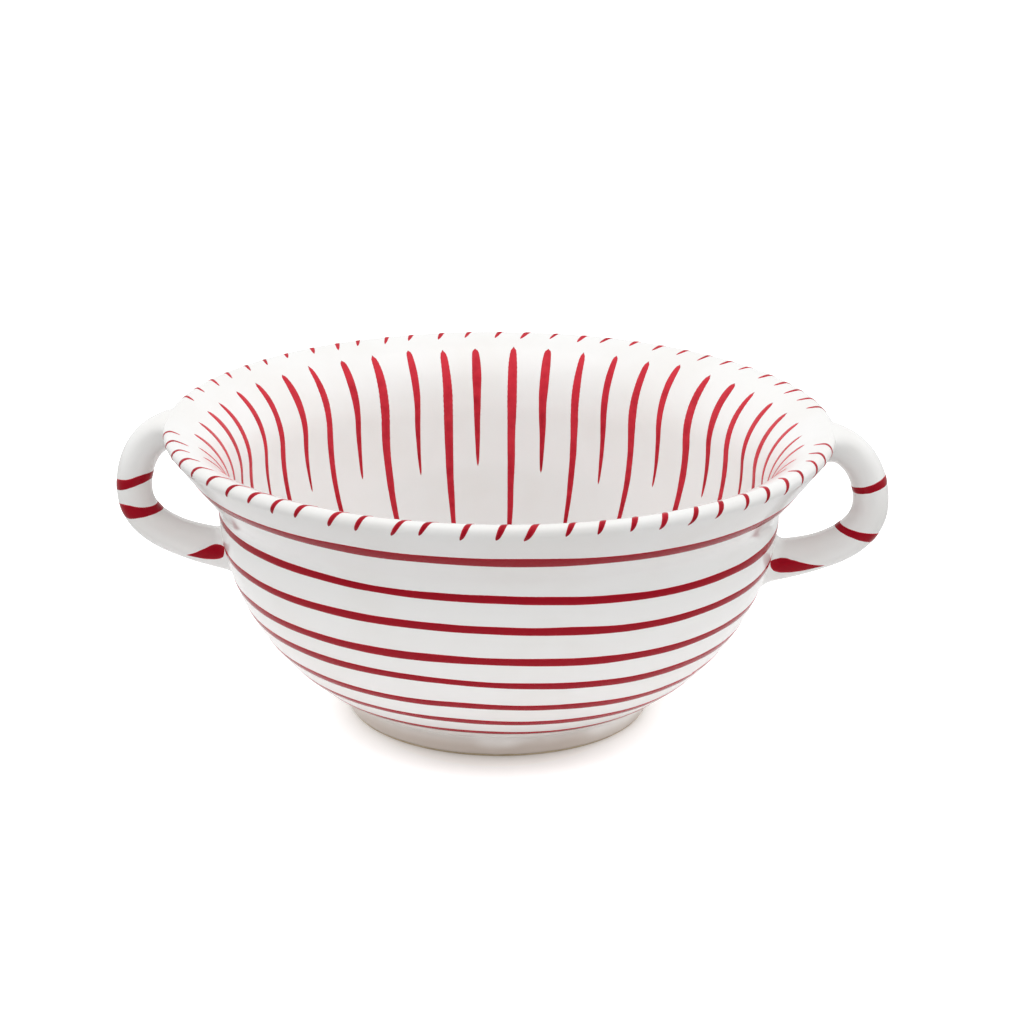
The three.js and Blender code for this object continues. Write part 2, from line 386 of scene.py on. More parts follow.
class GeometryTree(Tree):
    """A geometry node group with named inputs and one output."""

    def __init__(self, name, inputs, output):
        group = bpy.data.node_groups.new(name, "GeometryNodeTree")
        for label, kind in inputs.items():
            group.interface.new_socket(label, in_out="INPUT", socket_type=SOCKETS[kind])
        group.interface.new_socket(output.title(), in_out="OUTPUT", socket_type=SOCKETS[output])
        super().__init__(group)
        source = group.nodes.new("NodeGroupInput")
        self.given = {label: Wire(self, source.outputs[label]) for label in inputs}
        self.result = group.nodes.new("NodeGroupOutput")

    def give(self, wire):
        self.node_tree.links.new(wire.socket, self.result.inputs[0])
        return self.node_tree

    def use(self, group, sockets):
        return self.add("GeometryNodeGroup", {"node_tree": group}, sockets)

    def grid_place(self):
        """Where a point of the unit grid lies, from 0 to 1 along both sides."""
        x, y, z = self.split(self.add("GeometryNodeInputPosition"))
        return x + 0.5, y + 0.5

    def unit_grid(self, steps_x, steps_y):
        sizes = {"Size X": 1.0, "Size Y": 1.0, "Vertices X": steps_x + 1, "Vertices Y": steps_y + 1}
        return self.add("GeometryNodeMeshGrid", None, sizes)

    def curve_of(self, mesh):
        return self.add("GeometryNodeMeshToCurve", None, {"Mesh": mesh})

    def length_of(self, curve):
        return self.add("GeometryNodeCurveLength", None, {"Curve": curve})

    def at_length(self, curve, along):
        sockets = {"Curves": curve, "Length": along}
        return self.add("GeometryNodeSampleCurve", {"mode": "LENGTH"}, sockets)

    def kept(self, geometry, name, value, kind="FLOAT"):
        """The geometry with a value kept on its points as a named attribute."""
        settings = {"data_type": kind, "domain": "POINT"}
        sockets = {"Geometry": geometry, "Name": name, "Value": value}
        return self.add("GeometryNodeStoreNamedAttribute", settings, sockets)

    def copies(self, grid, how_many, left_out=None):
        """The grid once for each number, as real mesh that knows its number as the attribute stroke."""
        points = self.add("GeometryNodePoints", None, {"Count": how_many})
        numbered = self.kept(points, "stroke", self.add("GeometryNodeInputIndex"), "INT")
        if left_out:
            settings = {"domain": "POINT", "mode": "ALL"}
            sockets = {"Geometry": numbered, "Selection": left_out}
            numbered = self.add("GeometryNodeDeleteGeometry", settings, sockets)
        placed = self.add("GeometryNodeInstanceOnPoints", None, {"Points": numbered, "Instance": grid})
        return self.add("GeometryNodeRealizeInstances", None, {"Geometry": placed})

    def stroke_number(self):
        return self.add("GeometryNodeInputNamedAttribute", {"data_type": "INT"}, {"Name": "stroke"})

    def chance(self, low, high, salt):
        """A value for each stroke, fixed by the seed."""
        seed = self.given["Seed"] + salt
        sockets = {"Min": low, "Max": high, "ID": self.stroke_number(), "Seed": seed}
        return self.add("FunctionNodeRandomValue", {"data_type": "FLOAT"}, sockets)

    def finished(self, geometry, position):
        """Puts the points in place, closes seams and poles, and sets the material."""
        placed = self.add("GeometryNodeSetPosition", None, {"Geometry": geometry, "Position": position})
        closed = self.add(
            "GeometryNodeMergeByDistance", None, {"Geometry": placed, "Distance": MERGE_DISTANCE}
        )
        smooth = self.add("GeometryNodeSetShadeSmooth", None, {"Geometry": closed})
        real = self.add("GeometryNodeRealizeInstances", None, {"Geometry": smooth})
        material = {"Geometry": real, "Material": self.given["Material"]}
        return self.give(self.add("GeometryNodeSetMaterial", None, material))


def angle_to(start, end):
    return math.atan2(end.y - start.y, end.x - start.x)


def arc(centre, radius, start, end):
    """Points along an arc in the half plane of radius and height."""
    steps = max(2, math.ceil(abs(end - start) * radius / SECTION_STEP))
    turns = [start + (end - start) * step / steps for step in range(steps + 1)]
    return [centre + radius * Vector((math.cos(turn), math.sin(turn))) for turn in turns]


def line(start, end):
    steps = max(1, math.ceil((end - start).length / SECTION_STEP))
    return [start.lerp(end, step / steps) for step in range(steps + 1)]


class WallSection:
    """Half section of the turned wall, as arcs that run into one another."""

    def __init__(self, shape):
        self.shape = shape
        self.neck = Vector((shape.rim_radius - shape.lip_overhang, shape.height - shape.lip_height))
        foot_top = shape.foot_radius + shape.foot_flare
        self.base = Vector((foot_top + shape.base_ledge, shape.foot_height))
        inset, rise = self.neck - self.base
        self.radius = (inset**2 + rise**2) / (2 * inset)
        self.centre = Vector((self.neck.x - self.radius, self.neck.y))

        bead = shape.bead_radius
        self.bead = Vector((shape.rim_radius - bead, shape.height - bead))
        reach, lift = self.bead - self.neck + Vector((shape.wall, 0))
        self.over_radius = (reach**2 + lift**2 - bead**2) / (2 * (reach - bead))
        self.over = self.neck + Vector((self.over_radius - shape.wall, 0))
        self.over_end = angle_to(self.over, self.bead)

        # The underside of the lip is a straight flare from the bead, which a sweep joins to the wall
        way = Vector((math.sin(shape.lip_flare), math.cos(shape.lip_flare)))
        out = Vector((way.y, -way.x))
        flare_top = self.bead + out * (bead + shape.lip_sweep)
        span = flare_top - self.centre
        run = span.dot(way)
        run -= math.sqrt(run**2 - span.length_squared + (self.radius + shape.lip_sweep) ** 2)
        self.under = flare_top - way * run
        self.wall_top = angle_to(self.centre, self.under)

        self.floor = shape.foot_height + shape.floor
        fillet_height = self.floor + shape.floor_fillet
        inside = self.radius - shape.wall - shape.floor_fillet
        fillet_reach = math.sqrt(inside**2 - (self.centre.y - fillet_height) ** 2)
        self.fillet = Vector((self.centre.x + fillet_reach, fillet_height))

    def outside(self, bead_end):
        """From the middle of the base over the outside to an angle on the bead."""
        base_line = line(Vector((0, self.base.y)), self.base)
        wall = arc(self.centre, self.radius, angle_to(self.centre, self.base), self.wall_top)
        flare = self.shape.lip_flare
        under = arc(self.under, self.shape.lip_sweep, self.wall_top + math.pi, math.pi - flare)
        bead = arc(self.bead, self.shape.bead_radius, -flare, bead_end)
        return base_line + wall[1:] + under[1:] + line(under[-1], bead[0])[1:] + bead[1:]

    def inside(self):
        """From the bead over the inside to the middle of the floor."""
        shape = self.shape
        wall_end = angle_to(self.centre, self.fillet)
        over = arc(self.over, self.over_radius, self.over_end, math.pi)
        wall = arc(self.centre, self.radius - shape.wall, 0, wall_end)
        fillet = arc(self.fillet, shape.floor_fillet, wall_end, -math.pi / 2)
        floor = line(Vector((self.fillet.x, self.floor)), Vector((0, self.floor)))
        return over + wall[1:] + fillet[1:] + floor[1:]

    def points(self):
        return self.outside(self.over_end) + self.inside()[1:]

    def crest_length(self):
        """Along the section from the middle of the base to the crest of the rim."""
        run = self.outside(math.pi / 2)
        return sum((after - before).length for before, after in zip(run, run[1:]))

    def radius_at(self, height):
        """Outside radius of the wall at a height under the lip."""
        return self.centre.x + math.sqrt(self.radius**2 - (height - self.centre.y) ** 2)

    def length_at(self, height):
        """Along the section from the middle of the base to a height on the wall's outside."""
        turn = math.asin((height - self.centre.y) / self.radius)
        return self.base.x + self.radius * (turn - angle_to(self.centre, self.base))


def section_mesh(name, points, closed=False):
    """A chain of edges through points of the half plane, which stands on the XZ plane."""
    mesh = bpy.data.meshes.new(name)
    links = [(step, step + 1) for step in range(len(points) - 1)]
    if closed:
        links.append((len(points) - 1, 0))
    mesh.from_pydata([(point.x, 0, point.y) for point in points], links, [])
    return mesh


# How many lumps the thrown wall has in a metre, and waves the edge of the glaze on the foot
WALL_LUMPS = 14.0
EDGE_WAVES = 90.0

# How high the waves of that edge are felt, in heights of the edge
EDGE_FADE = 3.0


def on_wall_group():
    """Node group for a point on the uneven wall, at a turn, a way along the section and a lift."""
    inputs = {"Section": "geometry", **floats("Turn", "Along", "Sideways", "Lift", "Unevenness")}
    tree = GeometryTree("On the wall", inputs, "vector")
    given = tree.given
    sample = tree.at_length(given["Section"], given["Along"])
    radius, depth, height = tree.split(sample.other("Position"))
    run_out, run_depth, run_up = tree.split(sample.other("Tangent"))
    turn = given["Turn"] + given["Sideways"] / radius.math("MAXIMUM", MERGE_DISTANCE)
    cosine = turn.math("COSINE")
    sine = turn.math("SINE")
    true_spot = tree.joined(radius * cosine, radius * sine, height)
    swell = tree.stray(true_spot, WALL_LUMPS, given["Unevenness"])
    rise = given["Lift"] + swell
    far = radius + run_up * rise
    return tree.give(tree.joined(far * cosine, far * sine, height - run_out * rise))


def turned_group(on_wall):
    """Node group that turns a section about the bowl's axis."""
    inputs = {
        "Section": "geometry",
        "Steps around": "int",
        "Steps along": "int",
        **floats("Unevenness", "Edge wander", "Edge height"),
        "Material": "material",
    }
    tree = GeometryTree("Turned on the wheel", inputs, "geometry")
    given = tree.given
    section = tree.curve_of(given["Section"])
    grid = tree.unit_grid(given["Steps around"], given["Steps along"])
    around, along = tree.grid_place()
    sockets = {
        "Section": section,
        "Turn": around * math.tau,
        "Along": along * tree.length_of(section),
        "Unevenness": given["Unevenness"],
    }
    spot = tree.use(on_wall, sockets)
    x, y, z = tree.split(spot)
    near_edge = tree.eased(z, given["Edge height"], given["Edge height"] * EDGE_FADE, 1.0, 0.0)
    rim = tree.joined(x, y, 0.0)
    wander = tree.stray(rim, EDGE_WAVES, given["Edge wander"], 2.0)
    return tree.finished(grid, tree.joined(x, y, z + wander * near_edge))


# Inputs of every painted stroke, and of the strokes on the wall
PAINT_INPUTS = {**floats("Relief", "Load", "Load end"), "Material": "material"}
WALL_PAINT_INPUTS = {"Section": "geometry", **PAINT_INPUTS, "Unevenness": "float", "Seed": "int"}

# Depth of a lens of paint under the glaze, as a share of its height above it
PAINT_UNDERSIDE = 0.5

# Paint lies at its full height where this many times the brush's pressure reaches its full pressure
FULL_HEIGHT_GAIN = 2.5


def paint_lift(tree, round_turn, fullness, way):
    """Lift of a flat lens of paint, whose underside is in the glaze, and how thickly it lies."""
    # The load from a stroke's start to its end is partly paint and partly painted highlight and painted
    # shade
    load = tree.mixed("FLOAT", way, tree.given["Load"], tree.given["Load end"])
    bulge = round_turn.math("SINE")
    above = bulge.math("MAXIMUM", 0.0)
    below = bulge.math("MINIMUM", 0.0)
    lift = (above + below * PAINT_UNDERSIDE) * fullness * tree.given["Relief"]
    return lift, above * fullness * load


def fullness_under(press):
    """Share of its full height at which the paint lies where the brush has this pressure."""
    return (press * FULL_HEIGHT_GAIN).math("MINIMUM", 1.0)


# How far the bands sink under the root of a handle, how far round its middle, and where they rise again
PAINT_SINK = 0.0008
ROOT_COVER = 0.0125
ROOT_EDGE = 1.25

# Chance in a band: how far its ends pass one another, how close its waves are, and its drift in wavers
BAND_OVERLAP = (0.06, 0.3)
BAND_WAVES = 1.3
BAND_DRIFT = 1.6

# Steps in the noise from one band to the next and from a band's start to its end, so that none are alike
BAND_APART = 3.7
ENDS_APART = 0.4

# Pressure of the brush on a band: the least, how much chance adds, and how close its waves are
BAND_LIGHTEST = 0.64
BAND_PRESSING = 0.72
PRESSING_WAVES = 2.2
PRESSING_SHIFT = (5.0, 2.0, 8.0)

# A band's ends are round over one part in this many of its length
BAND_END_PARTS = 60.0

# The bands come down by their lean between these places, from -1 on the left to 1 on the right
LEAN_PLACES = (-0.2, 0.8)


def bands_group(on_wall):
    """Node group for level bands, each one turn of a loaded brush whose ends pass one another."""
    inputs = {
        **WALL_PAINT_INPUTS,
        "Count": "int",
        **floats("First", "Second", "Spacing", "First width", "Second width", "Last width"),
        **floats("Waver", "Lean", "Root radius", "Root along"),
    }
    tree = GeometryTree("Level bands", inputs, "geometry")
    given = tree.given
    section = tree.curve_of(given["Section"])
    strokes = tree.copies(tree.unit_grid(BAND_STEPS, PAINT_SECTION_STEPS), given["Count"])
    along, across = tree.grid_place()
    stroke = tree.stroke_number()
    round_turn = across * math.tau

    sweep = math.tau + tree.chance(*BAND_OVERLAP, 0)
    turn = tree.chance(0.0, math.tau, 1) + along * sweep
    apart = stroke * BAND_APART + along * ENDS_APART
    place = tree.joined(turn.math("COSINE"), turn.math("SINE"), apart)
    waver = tree.stray(place, BAND_WAVES, given["Waver"], 2.0)
    drift = (along - 0.5) * tree.chance(-1.0, 1.0, 2) * given["Waver"] * BAND_DRIFT
    from_end = along.math("MINIMUM", 1.0 - along)
    ends = (from_end * BAND_END_PARTS).math("MINIMUM", 1.0).math("SQRT")
    is_first = stroke.math("LESS_THAN", 0.5)
    share = (stroke - 1.0) / (given["Count"] - 2.0)
    width = tree.mixed("FLOAT", share, given["Second width"], given["Last width"])
    width = tree.mixed("FLOAT", is_first, width, given["First width"])
    pressing = tree.noise(tree.vector("ADD", place, PRESSING_SHIFT), PRESSING_WAVES, 3.0)
    pressure = BAND_LIGHTEST + BAND_PRESSING * pressing
    half = width * 0.5 * pressure * ends
    later = given["Second"] - (stroke - 1.0) * given["Spacing"]
    middle = tree.mixed("FLOAT", is_first, later, given["First"]) + waver + drift
    middle = middle - tree.eased(turn.math("COSINE"), *LEAN_PLACES) * given["Lean"]
    lift, pool = paint_lift(tree, round_turn, ends, along)

    # Under the roots of the handles the bands sink into the wall
    aside = turn.math("SINE") * given["Root radius"]
    above = middle - given["Root along"]
    from_root = (aside * aside + above * above).math("SQRT")
    covered = tree.eased(from_root, ROOT_COVER, ROOT_COVER * ROOT_EDGE, 1.0, 0.0)
    lift = lift - PAINT_SINK * covered
    sockets = {
        "Section": section,
        "Turn": turn,
        "Along": middle + round_turn.math("COSINE") * half,
        "Lift": lift,
        "Unevenness": given["Unevenness"],
    }
    return tree.finished(tree.kept(strokes, "pool", pool), tree.use(on_wall, sockets))


# Pressure of the brush along a stroke, from its top to its tip
UPRIGHT_PRESSURE = [
    (0, 0), (0.015, 0.45), (0.06, 0.8), (0.2, 1), (0.5, 0.82), (0.82, 0.5), (0.96, 0.28), (1, 0)
]
DASH_PRESSURE = [(0, 0), (0.06, 0.45), (0.2, 0.8), (0.45, 1), (0.75, 0.8), (0.93, 0.4), (1, 0)]

# Least and most of a stroke's usual length, width and slant
STROKE_LENGTHS = (0.94, 1.06)
STROKE_WIDTHS = (0.86, 1.14)
STROKE_SLANTS = (0.8, 1.2)

# Chance in a stroke's place, to either side as a share of the spacing and up or down
STROKE_SHIFT = 0.1
STROKE_SLIP = 0.0012

# Waves of a stroke in a metre, the step in the noise from one stroke to the next, and the noise's layer
STROKE_WAVES = 30.0
STROKE_APART = 2.3
NOISE_LAYER = 0.5

# Width that the bristles leave: the least share, how much chance adds, and how close its waves are
BRISTLE_LEAST = 0.8
BRISTLE_SPREAD = 0.4
BRISTLE_WAVES = 2.5
BRISTLE_SHIFT = (3.0, 1.0, 9.0)


def strokes_group(on_wall, name, steps, pressure):
    """Node group for strokes that run across the wall's section, spaced evenly round the bowl."""
    inputs = {
        **WALL_PAINT_INPUTS,
        "Count": "int",
        **floats("Start", "Long", "Short", "Width", "Slant", "Waver", "Handle gap"),
    }
    tree = GeometryTree(name, inputs, "geometry")
    given = tree.given
    section = tree.curve_of(given["Section"])
    stroke = tree.stroke_number()
    aside = (stroke / given["Count"] * math.tau).math("SINE").math("ABSOLUTE")
    left_out = aside.math("LESS_THAN", given["Handle gap"])
    strokes = tree.copies(tree.unit_grid(steps, PAINT_SECTION_STEPS), given["Count"], left_out)
    along, across = tree.grid_place()
    round_turn = across * math.tau

    press = tree.curved(pressure, along)
    odd = stroke.math("MODULO", 2.0)
    reach = tree.mixed("FLOAT", odd, given["Long"], given["Short"]) * tree.chance(*STROKE_LENGTHS, 0)
    place = tree.joined(along * reach * STROKE_WAVES, stroke * STROKE_APART, NOISE_LAYER)
    waver = tree.stray(place, 1.0, given["Waver"])
    bristles = tree.noise(tree.vector("ADD", place, BRISTLE_SHIFT), BRISTLE_WAVES, 2.0)
    bristle = BRISTLE_LEAST + BRISTLE_SPREAD * bristles
    half = given["Width"] * 0.5 * press * bristle * tree.chance(*STROKE_WIDTHS, 1)
    lean = given["Slant"] * (along - 0.5) * tree.chance(*STROKE_SLANTS, 2)
    lift, pool = paint_lift(tree, round_turn, fullness_under(press), along)
    shift = tree.chance(-STROKE_SHIFT, STROKE_SHIFT, 3)
    slip = tree.chance(-STROKE_SLIP, STROKE_SLIP, 4)
    sockets = {
        "Section": section,
        "Turn": (stroke + shift) / given["Count"] * math.tau,
        "Along": given["Start"] + slip + along * reach,
        "Sideways": lean + waver + round_turn.math("COSINE") * half,
        "Lift": lift,
        "Unevenness": given["Unevenness"],
    }
    return tree.finished(tree.kept(strokes, "pool", pool), tree.use(on_wall, sockets))


# Inputs that a handle and the strokes on it share
LOOP_INPUTS = {
    "Path": "geometry",
    "Bowl": "object",
    "Rim slant": "vector",
    "Wall slant": "vector",
    **floats("Thickness", "Breadth", "Rim fillet", "Wall fillet", "Root swell", "Unevenness", "Side"),
}

# How fast a loop's ends spread under the glaze for each depth, and how far at most
UNDER_SPREAD = 6.0
UNDER_REACH = 0.0015

# Length of the lower arm over which it swells towards its root
ROOT_REACH = 0.030

# Lengths over which the sections turn to lie along the rim and the wall, in thicknesses of the roll
RIM_TURN = 0.8
WALL_TURN = 1.3

# Flattened top of the roll at the rim: power of its curve, and where it fades, in thicknesses
FLAT_POWER = 0.5
FLAT_FADES = (0.3, 1.7)

# Shares of the loop's length between which the rim's fillet gives way to the wall's
FILLET_CHANGE = (0.4, 0.6)

# Rise of a face over which it comes to count as the roll's top, where the fillet only spreads sideways
TOP_FACES = (-0.3, 0.2)

# How many lumps a hand-rolled loop has in a metre
LOOP_LUMPS = 38.0


def on_loop_group():
    """Node group for a point on a loop handle, whose ends lie along the wall and swell into it."""
    inputs = {**LOOP_INPUTS, "Bowl": "geometry", **floats("Along", "Around", "Lift", "Fullness")}
    tree = GeometryTree("On the loop", inputs, "vector")
    given = tree.given
    along = given["Along"]
    thickness = given["Thickness"]
    total = tree.length_of(given["Path"])
    sample = tree.at_length(given["Path"], along)
    run_out, run_depth, run_up = tree.split(sample.other("Tangent"))
    root = 1.0 + given["Root swell"] * tree.eased(along, total - ROOT_REACH, total)
    half_thickness = thickness * 0.5 * root
    half_breadth = given["Breadth"] * 0.5 * root
    at_rim = tree.eased(along, 0.0, thickness * RIM_TURN, 1.0, 0.0)
    at_wall = tree.eased(along, total - thickness * WALL_TURN, total)
    free = (1.0 - at_rim - at_wall) * half_thickness
    outward = tree.scaled(tree.joined(-run_up, 0.0, run_out), free)
    outward = tree.vector("ADD", outward, tree.scaled(given["Rim slant"], at_rim))
    outward = tree.vector("ADD", outward, tree.scaled(given["Wall slant"], at_wall * root))

    cosine = given["Around"].math("COSINE")
    sine = given["Around"].math("SINE")
    flat_start, flat_end = (thickness * share for share in FLAT_FADES)
    power = tree.eased(along, flat_start, flat_end, FLAT_POWER, 1.0)
    cosine = cosine.math("MAXIMUM", 0.0).math("POWER", power) + cosine.math("MINIMUM", 0.0)
    breadth = tree.joined(0.0, half_breadth * sine, 0.0)
    rim_of_section = tree.vector("ADD", tree.scaled(outward, cosine), breadth)
    spot = tree.vector("ADD", sample.other("Position"), tree.scaled(rim_of_section, given["Fullness"]))
    steep = tree.joined(0.0, sine / half_breadth, 0.0)
    facing = tree.vector("ADD", tree.scaled(outward, cosine / half_thickness / half_thickness), steep)
    facing = tree.vector("NORMALIZE", facing)

    # Near the bowl the roll swells along the wall in a round fillet, and goes on just under the glaze
    sockets = {"Geometry": given["Bowl"], "Sample Position": spot}
    nearest = tree.add("GeometryNodeProximity", {"target_element": "FACES"}, sockets).other("Position")
    normal = tree.add("GeometryNodeInputNormal")
    sockets = {"Mesh": given["Bowl"], "Value": normal, "Sample Position": spot}
    upright = tree.add("GeometryNodeSampleNearestSurface", {"data_type": "FLOAT_VECTOR"}, sockets)
    gap = tree.vector("DOT_PRODUCT", tree.vector("SUBTRACT", spot, nearest), upright)
    change_start, change_end = (total * share for share in FILLET_CHANGE)
    lower = tree.eased(along, change_start, change_end)
    fillet = tree.mixed("FLOAT", lower, given["Rim fillet"], given["Wall fillet"])
    near = (fillet - gap.math("MAXIMUM", 0.0)).math("MAXIMUM", 0.0)
    under = (gap * -UNDER_SPREAD).math("MAXIMUM", 0.0).math("MINIMUM", UNDER_REACH)
    swell = fillet - (fillet * fillet - near * near).math("SQRT") + under
    swell = swell * given["Fullness"]
    off_wall = tree.scaled(upright, tree.vector("DOT_PRODUCT", facing, upright))
    spread_out, spread_side, spread_up = tree.split(tree.vector("SUBTRACT", facing, off_wall))
    on_top = tree.eased(tree.split(facing)[2], *TOP_FACES) * (1.0 - lower)
    upright_swell = swell * (1.0 - on_top)
    filling = tree.joined(spread_out * upright_swell, 0.0, spread_up * upright_swell)
    filled = tree.vector("ADD", spot, filling)
    x, y, z = tree.split(spot)
    sockets = {"Vector": filled, "Angle": swell * spread_side / (x * x + y * y).math("SQRT")}
    filled = tree.add("ShaderNodeVectorRotate", {"rotation_type": "Z_AXIS"}, sockets)
    shift = tree.vector("ADD", spot, tree.joined(given["Side"], 0.0, 0.0))
    waver = tree.stray(shift, LOOP_LUMPS, given["Unevenness"])
    rise = (waver + given["Lift"]) * given["Fullness"]
    return tree.give(tree.vector("ADD", filled, tree.scaled(facing, rise)))


def loop_start(tree):
    """The path and the bowl as geometry, and the sockets that the loop's node group shares."""
    given = tree.given
    path = tree.curve_of(given["Path"])
    bowl = tree.add("GeometryNodeObjectInfo", None, {"Object": given["Bowl"]}).other("Geometry")
    shared = {label: given[label] for label in LOOP_INPUTS if label not in ("Path", "Bowl")}
    shared.update({"Path": path, "Bowl": bowl})
    return path, shared


def turned_to_side(tree, spot):
    """The spot turned about the bowl's axis to the handle's own side."""
    sockets = {"Vector": spot, "Angle": tree.given["Side"]}
    return tree.add("ShaderNodeVectorRotate", {"rotation_type": "Z_AXIS"}, sockets)


# Share of the loop's length at each share of its rows, which lie closer where the ends swell
LOOP_ROWS = [(0, 0), (0.3, 0.15), (0.65, 0.88), (1, 1)]


def loop_group(on_loop):
    """Node group for one loop handle, an oval roll along its path with both ends closed."""
    inputs = {**LOOP_INPUTS, "Steps around": "int", "Steps along": "int", "Material": "material"}
    tree = GeometryTree("Loop handle", inputs, "geometry")
    given = tree.given
    path, shared = loop_start(tree)
    grid = tree.unit_grid(given["Steps around"], given["Steps along"])
    around, along = tree.grid_place()
    row = along * given["Steps along"]
    from_end = row.math("MINIMUM", given["Steps along"] - row)
    way = ((row - 1.0) / (given["Steps along"] - 2.0)).math("MAXIMUM", 0.0).math("MINIMUM", 1.0)
    share = tree.curved(LOOP_ROWS, way)
    sockets = {
        **shared,
        "Along": share * tree.length_of(path),
        "Around": around * math.tau,
        "Fullness": from_end.math("MINIMUM", 1.0),
    }
    spot = tree.use(on_loop, sockets)
    return tree.finished(grid, turned_to_side(tree, spot))


# Pressure of the brush along a stroke on a handle, from its thin start to its blunt end
LOOP_PRESSURE = [
    (0, 0), (0.05, 0.3), (0.15, 0.6), (0.4, 0.88), (0.7, 1), (0.9, 0.85), (0.97, 0.5), (1, 0)
]
LEAF_PRESSURE = [
    (0, 0), (0.08, 0.2), (0.25, 0.5), (0.45, 0.84), (0.6, 0.98),
    (0.7, 1), (0.8, 0.9), (0.9, 0.62), (0.96, 0.34), (1, 0)
]

# Number of the stroke that is a leaf, and how near a number has to be to count as the same
LEAF = 2.0
SAME_NUMBER = 0.1

# Waves of a handle's stroke in a metre, the width that the bristles leave, and how far a band bows
LOOP_WAVES = 50.0
LOOP_BRISTLE_LEAST = 0.75
LOOP_BRISTLE_SPREAD = 0.5
LOOP_BRISTLE_WAVES = 2.6
BOW = 0.0015
BOW_WAVES = 1.1
BOW_SHIFT = (4.0, 7.0, 1.0)


def loop_bands_group(on_loop):
    """Node group for the strokes on one handle, each from one place on the roll to another."""
    inputs = {
        **LOOP_INPUTS,
        "Count": "int",
        "Places": "vector",
        "Runs": "vector",
        "Arches": "vector",
        "Sweeps": "vector",
        "Turns": "vector",
        "Widths": "vector",
        "Front": "float",
        **PAINT_INPUTS,
    }
    tree = GeometryTree("Handle bands", inputs, "geometry")
    given = tree.given
    path, shared = loop_start(tree)
    strokes = tree.copies(tree.unit_grid(LOOP_BAND_STEPS, PAINT_SECTION_STEPS), given["Count"])
    way, across = tree.grid_place()
    stroke = tree.stroke_number()
    round_turn = across * math.tau

    def picked(label):
        """The stroke's own value out of the three that an input holds, the last of them for the leaf."""
        first, second, third = tree.split(given[label])
        is_second = stroke.math("COMPARE", 1.0, SAME_NUMBER)
        return first + (second - first) * is_second + (third - first) * is_leaf

    is_leaf = stroke.math("COMPARE", LEAF, SAME_NUMBER)
    band_press = tree.curved(LOOP_PRESSURE, way)
    leaf_press = tree.curved(LEAF_PRESSURE, way)
    press = tree.mixed("FLOAT", is_leaf, band_press, leaf_press)
    run = picked("Runs")
    sweep = picked("Sweeps")
    span = (run * run + sweep * sweep).math("SQRT")
    place = tree.joined(way * span * LOOP_WAVES, stroke * STROKE_APART, given["Side"])
    bristle = LOOP_BRISTLE_LEAST + LOOP_BRISTLE_SPREAD * tree.noise(place, LOOP_BRISTLE_WAVES)
    half = picked("Widths") * 0.5 * press * bristle * round_turn.math("COSINE")
    bow = tree.stray(tree.vector("ADD", place, BOW_SHIFT), BOW_WAVES, BOW)
    roll = (given["Thickness"] + given["Breadth"]) * 0.25

    # The bands are slanted rings, and the last stroke is a leaf that runs straight along the lower arm
    turn = (picked("Turns") + (way - 0.5) * sweep) / roll
    slant = turn.math("COSINE")
    ring = picked("Arches") * slant * slant - slant * run * 0.5 + half
    leaf_run = (way - 0.5) * run + half * sweep / span
    along = picked("Places") + tree.mixed("FLOAT", is_leaf, ring + bow, leaf_run)
    around = turn - is_leaf * half * run / span / roll
    lift, pool = paint_lift(tree, round_turn, fullness_under(press), way)
    sockets = {
        **shared,
        "Along": along,
        "Around": around * given["Front"],
        "Lift": lift,
        "Fullness": 1.0,
    }
    spot = turned_to_side(tree, tree.use(on_loop, sockets))
    return tree.finished(tree.kept(strokes, "pool", pool), spot)


def grown(name, source, group, values, slot, *nodes):
    """Runs a node group on a source mesh and keeps the result as a plain closed piece."""
    old = bpy.data.objects.get(name)
    if old:
        bpy.data.objects.remove(old)
    piece = bpy.data.objects.new(name, source)
    bpy.context.scene.collection.objects.link(piece)
    modifier = piece.modifiers.new(group.name, "NODES")
    modifier.node_group = group
    inputs = [item for item in group.interface.items_tree if item.in_out == "INPUT"]
    identifiers = {item.name: item.identifier for item in inputs}
    modifier[identifiers["Material"]] = slot_material(slot)
    for label, value in values.items():
        modifier[identifiers[label]] = value
    shown = piece.evaluated_get(bpy.context.evaluated_depsgraph_get())
    mesh = bpy.data.meshes.new_from_object(shown)
    piece.modifiers.clear()
    piece.data = mesh
    mesh.name = name
    close_outwards(mesh)
    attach(piece, "root")
    if nodes:
        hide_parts(*nodes)


def close_outwards(mesh):
    """Turns the faces outwards, and stops if the shell is open."""
    shell = bmesh.new()
    shell.from_mesh(mesh)
    bmesh.ops.recalc_face_normals(shell, faces=shell.faces)
    open_edges = sum(not edge.is_manifold for edge in shell.edges)
    shell.to_mesh(mesh)
    shell.free()
    if open_edges or not mesh.polygons:
        raise RuntimeError(f"{mesh.name} has {len(mesh.polygons)} faces and {open_edges} open edges")


def shared_group(name, build, *parts):
    """The node group of that name, built the first time it is asked for."""
    return bpy.data.node_groups.get(name) or build(*parts)


def wall_spots():
    return shared_group("On the wall", on_wall_group)


def loop_spots():
    return shared_group("On the loop", on_loop_group)


def new_material(name):
    """A material with an empty tree."""
    material = bpy.data.materials.new(name)
    material.use_nodes = True
    material.node_tree.nodes.clear()
    return material


def put_surface(tree, shader):
    output = tree.node_tree.nodes.new("ShaderNodeOutputMaterial")
    tree.node_tree.links.new(shader.socket, output.inputs["Surface"])


def opaque(rgb):
    return (*rgb, 1.0)


# Marks in the white glaze in a metre, where its clouds set in, and what else shows in its bumps
CLOUDS = 24.0
CLOUD_RANGE = (0.42, 0.68)
PINHOLE_CELLS = 75.0
GLOSS_PATCHES = 90.0
RIPPLES = 55.0
FINE_RIPPLES = 420.0
FINE_RIPPLE_SHARE = 0.12
PINHOLE_DEPTH = 0.3

